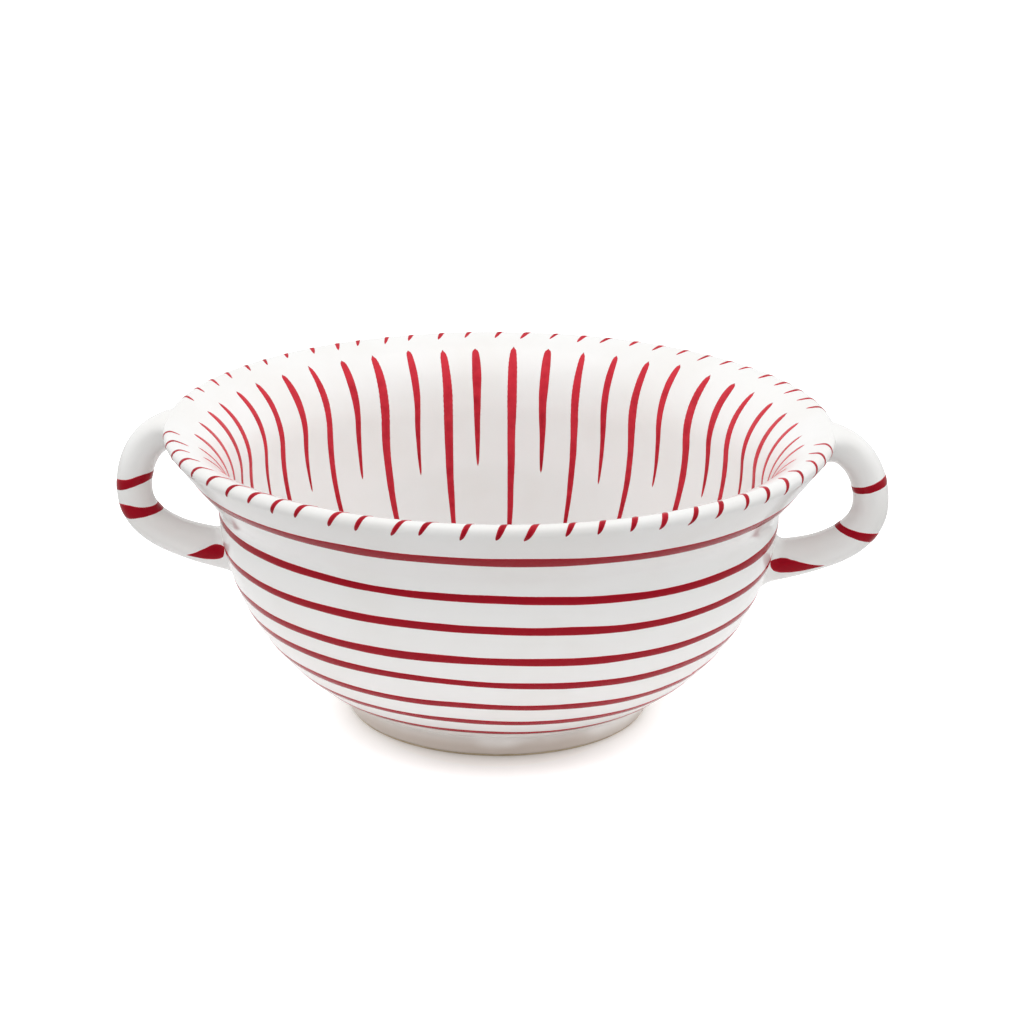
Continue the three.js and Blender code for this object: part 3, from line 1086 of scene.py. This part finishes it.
# Pinholes: the share of cells without one, where a hole's edge lies in its cell, and how dark it is
CELLS_WITHOUT = 0.8
PINHOLE_EDGE = (0.012, 0.03)
PINHOLE_SHADE = 0.5

# Heights between which the glaze on the foot thins and darkens, partly thinner glaze and partly painted
# shade near the table, and how far the clouds move them
FOOT_GLAZE_AND_SHADE = (0.002, 0.013)
FOOT_GLAZE_AND_SHADE_DRIFT = 0.004


def white_glaze(tree, spot, finish):
    """Glossy tin glaze: faint clouds of thinner glaze, soft ripples, a few pinholes, and thinner glaze
    with painted shade low on the foot.
    """
    cloud = tree.eased(tree.noise(spot, CLOUDS, 3.0), *CLOUD_RANGE)
    cells = tree.add("ShaderNodeTexVoronoi", {"feature": "F1"}, {"Vector": spot, "Scale": PINHOLE_CELLS})
    rare = tree.split(cells.other("Color"))[0].math("GREATER_THAN", CELLS_WITHOUT)
    pinhole = tree.eased(cells, *PINHOLE_EDGE, 1.0, 0.0) * rare
    tone = tree.mixed("RGBA", cloud, opaque(finish.white), opaque(finish.warm_white))
    # Towards the table the glaze goes over to the foot white: partly thinner glaze, partly painted shade
    height = tree.split(spot)[2] + FOOT_GLAZE_AND_SHADE_DRIFT * (cloud - 0.5)
    thin_and_shaded = tree.eased(height, *FOOT_GLAZE_AND_SHADE, 1.0, 0.0)
    tone = tree.mixed("RGBA", thin_and_shaded, tone, opaque(finish.shaded_foot_white))
    tone = tree.mixed("RGBA", pinhole * PINHOLE_SHADE, tone, opaque(finish.speck))
    fine = FINE_RIPPLE_SHARE * tree.noise(spot, FINE_RIPPLES)
    ripple = tree.noise(spot, RIPPLES, 2.0) + fine - PINHOLE_DEPTH * pinhole
    bump = {"Strength": 0.25, "Distance": 0.0004, "Height": ripple}
    return {
        "Base Color": tone,
        "Roughness": 0.09 + 0.07 * tree.noise(spot, GLOSS_PATCHES, 2.0),
        "IOR": 1.52,
        "Normal": tree.add("ShaderNodeBump", None, bump),
    }


# Streaks and clouds of the red in a metre, their shares in its depth, and where it goes over to deep
RED_STREAKS = 240.0
RED_CLOUDS = 45.0
POOL_SHARE = 0.75
STREAK_SHARE = 0.4
CLOUD_SHARE = 0.35
DEPTH_START = 0.3
DEPTH_RANGE = (0.05, 0.62)


def red_glaze(tree, spot, finish):
    """Painted red under a gloss: light at a stroke's edges, streaked and deeper where it pools."""
    # The pool carries the load, so the light tops of strokes and dashes and the deep outer ends of
    # dashes hold painted highlight and painted shade as well as paint
    pool = tree.add("ShaderNodeAttribute", {"attribute_name": "pool"}).other("Fac")
    streak = tree.noise(spot, RED_STREAKS, 3.0)
    cloud = tree.noise(spot, RED_CLOUDS, 2.0)
    laid = pool * POOL_SHARE + streak * STREAK_SHARE + cloud * CLOUD_SHARE - DEPTH_START
    depth = tree.eased(laid, *DEPTH_RANGE)
    bump = {"Strength": 0.2, "Distance": 0.0003, "Height": streak * 0.3 + cloud}
    return {
        "Base Color": tree.mixed("RGBA", depth, opaque(finish.thin_red), opaque(finish.red)),
        "Roughness": 0.1 + 0.12 * streak,
        "Specular IOR Level": 0.1,
        "Normal": tree.add("ShaderNodeBump", None, bump),
    }


# Grains and stains of the bare clay in a metre, their shares in its tone, and where that tone goes over
CLAY_GRAINS = 900.0
CLAY_STAINS = 60.0
GRAIN_SHARE = 0.4
STAIN_SHARE = 0.6
STAIN_RANGE = (0.4, 0.65)


def bare_clay(tree, spot, finish):
    """Matt buff earthenware with fine grog."""
    grain = tree.noise(spot, CLAY_GRAINS, 4.0)
    stains = tree.noise(spot, CLAY_STAINS, 3.0) * STAIN_SHARE + grain * GRAIN_SHARE
    stain = tree.eased(stains, *STAIN_RANGE)
    bump = {"Strength": 0.5, "Distance": 0.0002, "Height": grain}
    return {
        "Base Color": tree.mixed("RGBA", stain, opaque(finish.clay), opaque(finish.dark_clay)),
        "Roughness": 0.78 + 0.15 * grain,
        "Normal": tree.add("ShaderNodeBump", None, bump),
    }


SURFACES = {"white_glaze": white_glaze, "red_glaze": red_glaze, "bare_clay": bare_clay}


def slot_material(slot):
    """The material of a slot, built the first time it is asked for."""
    name = slot.replace("_", " ")
    if name not in bpy.data.materials:
        tree = Tree(new_material(name).node_tree)
        spot = tree.add("ShaderNodeTexCoord").other("Object")
        sockets = SURFACES[slot](tree, spot, bpy.context.scene.bowl_finish)
        put_surface(tree, tree.add("ShaderNodeBsdfPrincipled", None, sockets))
    return bpy.data.materials[name]


class SERVING_BOWL_OT_wall(bpy.types.Operator):
    """Turns the glazed wall, floor and lip as one closed shell"""

    bl_idname = "serving_bowl.wall"
    bl_label = "Glazed wall"

    def execute(self, context):
        shape = context.scene.bowl_shape
        source = section_mesh("wall section", WallSection(shape).points())
        values = {
            "Steps around": WALL_STEPS[0],
            "Steps along": WALL_STEPS[1],
            "Unevenness": shape.unevenness,
        }
        group = shared_group("Turned on the wheel", turned_group, wall_spots())
        grown("glazed_wall", source, group, values, "white_glaze", "bowl_body")
        return {"FINISHED"}


def foot_ring_points(shape):
    """Closed section of the bare clay ring, with worn lower edges."""
    worn = shape.foot_rounding
    inner = shape.foot_radius - shape.foot_width
    top = shape.foot_height + shape.glaze_coat
    outer_top = Vector((shape.foot_radius + shape.foot_flare, top))
    run = line(Vector((inner + worn, 0)), Vector((shape.foot_radius - worn, 0)))
    run += arc(Vector((shape.foot_radius - worn, worn)), worn, -math.pi / 2, 0)[1:]
    run += line(run[-1], outer_top)[1:]
    run += line(outer_top, Vector((inner, top)))[1:]
    run += line(run[-1], Vector((inner, worn)))[1:]
    run += arc(Vector((inner + worn, worn)), worn, math.pi, 1.5 * math.pi)[1:-1]
    return run


# The glaze's lower edge: how thin it is, how soon it is full, and how deep its coat is sunk, in coats
EDGE_THINNESS = 0.7
EDGE_RISE = 1.5
COAT_SINK = 3


def foot_glaze_points(shape):
    """Closed section of the glaze on both sides of the foot ring, filled into the corners above it."""
    section = WallSection(shape)
    coat = shape.glaze_coat
    low = shape.glaze_line
    fillet = shape.foot_fillet
    foot = Vector((shape.foot_radius, 0))
    rise = Vector((shape.foot_flare, shape.foot_height)).normalized()
    out = Vector((rise.y, -rise.x))

    # Centre of the outer fillet: as far from the coat on the foot as from the wall
    start = foot + out * (coat + fillet) - section.centre
    half = start.dot(rise)
    reach = math.sqrt(half**2 - start.length_squared + (section.radius + fillet) ** 2)
    centre = section.centre + start + rise * min(reach - half, -reach - half, key=abs)
    turn_wall = angle_to(centre, section.centre)
    turn_foot = math.atan2(-out.y, -out.x)

    edge = foot + rise * low
    full = edge + rise * coat * EDGE_RISE + out * coat
    run = [edge - out * coat, edge + out * coat * EDGE_THINNESS, full]
    run += line(run[-1], centre - out * fillet)[1:]
    run += arc(centre, fillet, turn_foot % math.tau, turn_wall % math.tau)[1:]
    inner = shape.foot_radius - shape.foot_width
    roof = shape.foot_height
    sunk = section.centre + (run[-1] - section.centre) * (1 - COAT_SINK * coat / section.radius)
    corner = Vector((inner - coat - fillet, roof - fillet - coat))
    run += line(run[-1], sunk)[1:]
    run += line(sunk, Vector((corner.x - coat, roof + COAT_SINK * coat)))[1:]
    run += line(run[-1], Vector((corner.x - coat, roof - coat)))[1:]
    run += arc(corner, fillet, math.pi / 2, 0)
    run += line(run[-1], Vector((inner - coat, low + coat * EDGE_RISE)))[1:]
    run += [Vector((inner - coat * EDGE_THINNESS, low)), Vector((inner + coat, low))]
    run += line(run[-1], Vector((inner + coat, roof - coat)))[1:]
    far = foot + rise * (roof - coat) - out * coat
    run += line(run[-1], far)[1:]
    run += line(far, run[0])[1:-1]
    return run


class SERVING_BOWL_OT_foot(bpy.types.Operator):
    """Turns the bare clay foot ring and the glaze that stops just above the table"""

    bl_idname = "serving_bowl.foot"
    bl_label = "Foot ring"

    def execute(self, context):
        shape = context.scene.bowl_shape
        group = shared_group("Turned on the wheel", turned_group, wall_spots())
        ring = section_mesh("foot section", foot_ring_points(shape), closed=True)
        values = {
            "Steps around": FOOT_STEPS[0],
            "Steps along": FOOT_STEPS[1],
            "Edge height": shape.glaze_line,
        }
        grown("bare_foot", ring, group, values, "bare_clay", "foot_ring")
        coat = section_mesh("foot glaze section", foot_glaze_points(shape), closed=True)
        values = {
            "Steps around": GLAZE_STEPS[0],
            "Steps along": GLAZE_STEPS[1],
            "Edge wander": shape.glaze_wander,
            "Edge height": shape.glaze_line,
        }
        grown("foot_glaze", coat, group, values, "white_glaze")
        return {"FINISHED"}


# Share of its span at which a control point lies, for a quarter ellipse and for the fuller lower arm
QUARTER_ELLIPSE = 0.5523
LOWER_ARM_FULLNESS = 0.6

# How far the loop's ends go into the clay of the lip and of the wall, and lie under the crest
LIP_SINK = 0.00575
WALL_SINK = 0.003
CREST_SINK = 0.0002


def bezier(start, first, second, end):
    run = []
    for step in range(CURVE_STEPS + 1):
        t = step / CURVE_STEPS
        near = (1 - t) ** 3 * start + 3 * (1 - t) ** 2 * t * first
        run.append(near + 3 * (1 - t) * t**2 * second + t**3 * end)
    return run


class LoopPath:
    """Middle line of the right handle, and the slants of its end sections."""

    def __init__(self, shape, loop, inset):
        section = WallSection(shape)
        half = loop.thickness / 2
        top = shape.height - half
        slope = Vector((math.cos(loop.seat_slope), math.sin(loop.seat_slope)))
        rim_seat = Vector((section.bead.x, top))
        furthest = Vector((loop.reach - inset - half, top - loop.drop))
        wall_seat = Vector((section.radius_at(loop.seat_height), loop.seat_height))
        outwards = Vector((furthest.x - rim_seat.x, 0)) * QUARTER_ELLIPSE
        upwards = Vector((0, loop.drop)) * QUARTER_ELLIPSE
        downwards = Vector((0, wall_seat.y - furthest.y)) * LOWER_ARM_FULLNESS
        along_arm = slope * (furthest.x - wall_seat.x) * LOWER_ARM_FULLNESS
        self.points = line(rim_seat - Vector((LIP_SINK, 0)), rim_seat)
        self.points += bezier(rim_seat, rim_seat + outwards, furthest + upwards, furthest)[1:]
        self.points += bezier(furthest, furthest + downwards, wall_seat + along_arm, wall_seat)[1:]
        self.points += line(wall_seat, wall_seat - slope * WALL_SINK)[1:]

        # The upper end goes from the crest down into the clay of the lip, the lower one along the wall
        self.rim_slant = Vector((LIP_SINK, 0, half - CREST_SINK))
        facing = (wall_seat - section.centre).normalized()
        self.wall_slant = Vector((facing.y, 0, -facing.x)) * half / facing.dot(slope)


def loop_values(context, side):
    """Inputs that a handle and its bands share."""
    loop = context.scene.bowl_handles
    path = LoopPath(context.scene.bowl_shape, loop, loop.left_inset if side else 0.0)
    values = {
        "Bowl": bpy.data.objects["glazed_wall"],
        "Thickness": loop.thickness,
        "Breadth": loop.breadth,
        "Rim slant": path.rim_slant,
        "Wall slant": path.wall_slant,
        "Rim fillet": loop.rim_fillet,
        "Wall fillet": loop.wall_fillet,
        "Root swell": loop.root_swell,
        "Unevenness": loop.unevenness,
        "Side": side,
    }
    return section_mesh("loop path", path.points), values


# Turn of each handle about the bowl's axis, and which way round its roll the front lies
SIDES = {"right": 0.0, "left": math.pi}
FRONT_SIDES = {"right": -1.0, "left": 1.0}


class SERVING_BOWL_OT_handles(bpy.types.Operator):
    """Rolls the two loop handles and smooths their ends into the rim and the wall"""

    bl_idname = "serving_bowl.handles"
    bl_label = "Loop handles"

    def execute(self, context):
        group = shared_group("Loop handle", loop_group, loop_spots())
        for name, side in SIDES.items():
            source, values = loop_values(context, side)
            values["Steps around"] = LOOP_STEPS[0]
            values["Steps along"] = LOOP_STEPS[1]
            nodes = [f"{name}_handle", f"{name}_rim_slip", f"{name}_wall_slip"]
            grown(f"{name}_loop", source, group, values, "white_glaze", *nodes)
        return {"FINISHED"}


def paint_values(context, loads=(1.0, 1.0)):
    """Inputs that all strokes share, with the colour left at a stroke's start and end."""
    relief = context.scene.bowl_brushwork.relief
    return {"Relief": relief, "Load": loads[0], "Load end": loads[1]}


def painted_on_wall(context, name, group, values):
    """Paints strokes along the section of the wall."""
    shape = context.scene.bowl_shape
    source = section_mesh("wall section", WallSection(shape).points())
    values["Unevenness"] = shape.unevenness
    values["Seed"] = context.scene.bowl_brushwork.seed
    grown(name, source, group, values, "red_glaze")


class SERVING_BOWL_OT_outside_bands(bpy.types.Operator):
    """Paints the level bands round the outside"""

    bl_idname = "serving_bowl.outside_bands"
    bl_label = "Outside bands"

    def execute(self, context):
        brush = context.scene.bowl_brushwork
        section = WallSection(context.scene.bowl_shape)
        seat = context.scene.bowl_handles.seat_height
        values = {
            "Count": brush.band_count,
            "First": section.crest_length() - brush.band_first,
            "Second": section.crest_length() - brush.band_second,
            "Spacing": brush.band_spacing,
            "First width": brush.first_width,
            "Second width": brush.second_width,
            "Last width": brush.last_width,
            "Waver": brush.band_waver,
            "Lean": brush.band_lean,
            "Root radius": section.radius_at(seat),
            "Root along": section.length_at(seat),
            **paint_values(context),
        }
        group = shared_group("Level bands", bands_group, wall_spots())
        painted_on_wall(context, "outside_bands", group, values)
        return {"FINISHED"}


class SERVING_BOWL_OT_inside_strokes(bpy.types.Operator):
    """Paints tapered strokes, long and short in turn, down the inside"""

    bl_idname = "serving_bowl.inside_strokes"
    bl_label = "Inside strokes"

    def execute(self, context):
        brush = context.scene.bowl_brushwork
        section = WallSection(context.scene.bowl_shape)
        values = {
            "Count": brush.stroke_count,
            "Start": section.crest_length() + brush.stroke_start,
            "Long": brush.stroke_long,
            "Short": brush.stroke_short,
            "Width": brush.stroke_width,
            "Waver": brush.stroke_waver,
            **paint_values(context, brush.stroke_loads_and_sheen),
        }
        parts = (wall_spots(), "Upright strokes", STROKE_STEPS, UPRIGHT_PRESSURE)
        group = shared_group("Upright strokes", strokes_group, *parts)
        painted_on_wall(context, "inside_strokes", group, values)
        return {"FINISHED"}


# Share of a dash that lies outside the crest of the rim
DASH_OVERHANG = 0.6


class SERVING_BOWL_OT_rim_dashes(bpy.types.Operator):
    """Paints short slanted dashes over the rim"""

    bl_idname = "serving_bowl.rim_dashes"
    bl_label = "Rim dashes"

    def execute(self, context):
        brush = context.scene.bowl_brushwork
        section = WallSection(context.scene.bowl_shape)
        values = {
            "Count": brush.dash_count,
            "Start": section.crest_length() - brush.dash_length * DASH_OVERHANG,
            "Long": brush.dash_length,
            "Short": brush.dash_length,
            "Width": brush.dash_width,
            "Slant": brush.dash_slant,
            "Waver": brush.dash_waver,
            "Handle gap": math.sin(brush.dash_gap),
            **paint_values(context, brush.dash_loads_sheen_and_shade),
        }
        parts = (wall_spots(), "Rim dashes", DASH_STEPS, DASH_PRESSURE)
        group = shared_group("Rim dashes", strokes_group, *parts)
        painted_on_wall(context, "rim_dashes", group, values)
        return {"FINISHED"}


class SERVING_BOWL_OT_handle_bands(bpy.types.Operator):
    """Paints the bands across the handles"""

    bl_idname = "serving_bowl.handle_bands"
    bl_label = "Handle bands"

    def execute(self, context):
        brush = context.scene.bowl_brushwork
        group = shared_group("Handle bands", loop_bands_group, loop_spots())
        for name, side in SIDES.items():
            source, values = loop_values(context, side)
            values["Count"] = len(brush.loop_sweeps)
            values["Arches"] = brush.loop_arches
            values["Sweeps"] = brush.loop_sweeps
            for label in ("Places", "Runs", "Turns", "Widths"):
                values[label] = getattr(brush, f"{name}_{label.lower()}")
            values["Front"] = FRONT_SIDES[name]
            values.update(paint_values(context))
            grown(f"{name}_loop_bands", source, group, values, "red_glaze")
        return {"FINISHED"}


def put_camera(studio):
    """Camera at the given view, with the middle of the bowl at its place in the picture."""
    level = math.cos(studio.elevation)
    away = Vector((
        level * math.sin(studio.azimuth),
        -level * math.cos(studio.azimuth),
        math.sin(studio.elevation),
    ))
    middle = Vector((0, 0, studio.middle_height))
    right = Vector((0, 0, 1)).cross(away).normalized()
    up = away.cross(right)
    size = studio.distance / studio.focal_pixels
    aim = middle + right * (PICTURE_SIZE / 2 - studio.picture_x) * size
    aim += up * (studio.picture_y - PICTURE_SIZE / 2) * size
    place = middle + away * studio.distance

    data = bpy.data.cameras.new("camera")
    data.sensor_width = SENSOR_WIDTH
    data.lens = studio.focal_pixels / PICTURE_SIZE * SENSOR_WIDTH
    camera = bpy.data.objects.new("camera", data)
    turn = (aim - place).to_track_quat("-Z", "Y").to_matrix() @ Matrix.Rotation(studio.roll, 3, "Z")
    camera.matrix_world = Matrix.Translation(place) @ turn.to_4x4()
    bpy.context.scene.collection.objects.link(camera)
    bpy.context.scene.camera = camera


# Distances from the bowl's middle over which its shadow clears and ends, and the floor dims and whitens
SHADOW_CLEARS = (0.058, 0.103)
SHADOW_ENDS = (0.088, 0.135)
FLOOR_DIMS = (0.15, 0.42)
FLOOR_WHITENS = (0.6, 2.6)

# How much narrower than deep those distances lie round the bowl, and half the floor's side
NARROWING = (1.25, 1.0, 1.0)
FLOOR_HALF = 4.0

# How much whiter the floor is seen than it is lit, at the foot and added over each of those distances
WHITE_AT_FOOT = 0.09
WHITE_CLEAR = 0.2
WHITE_WIDE = 0.25
WHITE_DIM = 0.85
WHITE_FAR = 0.7


def put_floor(studio):
    """Pale floor that keeps the bowl's shadow and is seen a little whiter than it is lit."""
    signs = [(-1, -1), (1, -1), (1, 1), (-1, 1)]
    corners = [(x * FLOOR_HALF, y * FLOOR_HALF, 0) for x, y in signs]
    mesh = bpy.data.meshes.new("studio_floor")
    mesh.from_pydata(corners, [], [(0, 1, 2, 3)])
    floor = bpy.data.objects.new("studio_floor", mesh)
    bpy.context.scene.collection.objects.link(floor)
    material = new_material("studio floor")
    tree = Tree(material.node_tree)
    path = tree.add("ShaderNodeLightPath")
    seen = path + path.other("Is Glossy Ray") * studio.floor_gloss + path.other("Is Transmission Ray")
    spot = tree.add("ShaderNodeTexCoord").other("Object")
    away = tree.vector("LENGTH", tree.vector("MULTIPLY", spot, NARROWING))
    clear = tree.eased(away, *SHADOW_CLEARS)
    wide = tree.eased(away, *SHADOW_ENDS)
    dim = tree.eased(away, *FLOOR_DIMS)
    far = tree.eased(away, *FLOOR_WHITENS)
    # Near the foot the floor takes the darker, warm colour as a painted shadow
    tone = tree.mixed("RGBA", clear, opaque(studio.floor_shade_at_foot), opaque(studio.floor_tone))
    tone = tree.mixed("RGBA", dim, tone, opaque(studio.floor_far))
    matt = tree.add("ShaderNodeBsdfDiffuse", None, {"Color": tone})
    whiter = WHITE_AT_FOOT + clear * WHITE_CLEAR + wide * WHITE_WIDE + dim * WHITE_DIM + far * WHITE_FAR
    lift = clear * (1.0 - dim) * studio.floor_glow + seen * whiter
    glow = tree.add("ShaderNodeEmission", None, {"Strength": lift})
    put_surface(tree, tree.add("ShaderNodeAddShader", None, {0: matt, 1: glow}))
    mesh.materials.append(material)


# Directions between which the front's light, its mirror image and the light of the sides set in
FRONT_LIT = (-0.9, -0.2)
FRONT_MIRRORED = (-0.8, -0.1)
SIDES_LIT = (0.5, 0.95)

# Where the lamp hangs over the table, from the bowl's axis
LAMP_PLACE = (0.1, -0.35)


def put_light(studio):
    """Even white light from all around, and one large soft lamp overhead."""
    world = bpy.data.worlds.new("studio")
    world.use_nodes = True
    world.node_tree.nodes.clear()
    tree = Tree(world.node_tree)
    path = tree.add("ShaderNodeLightPath")
    across, depth, height = tree.split(tree.add("ShaderNodeTexCoord").other("Generated"))
    mirrored = tree.eased(depth, *FRONT_MIRRORED, studio.front_gloss, 1.0)
    sides = 1.0 + tree.eased(across.math("ABSOLUTE"), *SIDES_LIT) * studio.side_light
    lit = tree.eased(depth, *FRONT_LIT, studio.front_light, 1.0) * sides * studio.dome
    strength = lit + (path + path.other("Is Transmission Ray")) * (1.0 - lit)
    strength = strength + path.other("Is Glossy Ray") * (mirrored - lit)
    sky = tree.add("ShaderNodeBackground", None, {"Color": (1.0, 1.0, 1.0, 1.0), "Strength": strength})
    output = world.node_tree.nodes.new("ShaderNodeOutputWorld")
    world.node_tree.links.new(sky.socket, output.inputs["Surface"])
    bpy.context.scene.world = world

    data = bpy.data.lights.new("soft_lamp", "AREA")
    data.energy = studio.lamp_watts
    data.size = studio.lamp_size
    lamp = bpy.data.objects.new("soft_lamp", data)
    lamp.location = (*LAMP_PLACE, studio.lamp_height)
    lamp.rotation_euler = Vector(lamp.location).to_track_quat("Z", "Y").to_euler()
    bpy.context.scene.collection.objects.link(lamp)


class SERVING_BOWL_OT_stage(bpy.types.Operator):
    """Sets up the floor, the light and the camera"""

    bl_idname = "serving_bowl.stage"
    bl_label = "Studio"

    def execute(self, context):
        studio = context.scene.bowl_studio
        put_floor(studio)
        put_light(studio)
        put_camera(studio)
        context.scene.view_settings.view_transform = "Standard"
        return {"FINISHED"}


GROUPS = {
    "bowl_shape": BowlShape,
    "bowl_handles": HandleShape,
    "bowl_brushwork": Brushwork,
    "bowl_finish": Finish,
    "bowl_studio": Studio,
}
OPERATORS = (
    SERVING_BOWL_OT_wall,
    SERVING_BOWL_OT_foot,
    SERVING_BOWL_OT_handles,
    SERVING_BOWL_OT_outside_bands,
    SERVING_BOWL_OT_inside_strokes,
    SERVING_BOWL_OT_rim_dashes,
    SERVING_BOWL_OT_handle_bands,
    SERVING_BOWL_OT_stage,
)


class SERVING_BOWL_PT_panel(bpy.types.Panel):
    """Lists the sizes and the operators in the order in which they are run."""

    bl_idname = "SERVING_BOWL_PT_panel"
    bl_label = "Handled serving bowl"
    bl_space_type = "VIEW_3D"
    bl_region_type = "UI"
    bl_category = "Bowl"

    def draw(self, context):
        for owner, kind in GROUPS.items():
            box = self.layout.box()
            box.label(text=kind.__doc__)
            for name in kind.__annotations__:
                box.prop(getattr(context.scene, owner), name)
        for operator in OPERATORS:
            self.layout.operator(operator.bl_idname)


CLASSES = (*GROUPS.values(), *OPERATORS, SERVING_BOWL_PT_panel)


def register():
    for kind in CLASSES:
        bpy.utils.register_class(kind)
    for owner, kind in GROUPS.items():
        setattr(bpy.types.Scene, owner, bpy.props.PointerProperty(type=kind))


def unregister():
    for owner in GROUPS:
        delattr(bpy.types.Scene, owner)
    for kind in reversed(CLASSES):
        bpy.utils.unregister_class(kind)


def main():
    register()
    bpy.ops.serving_bowl.wall()
    bpy.ops.serving_bowl.foot()
    bpy.ops.serving_bowl.handles()
    bpy.ops.serving_bowl.outside_bands()
    bpy.ops.serving_bowl.inside_strokes()
    bpy.ops.serving_bowl.rim_dashes()
    bpy.ops.serving_bowl.handle_bands()
    bpy.ops.serving_bowl.stage()


if __name__ == "__main__":
    main()
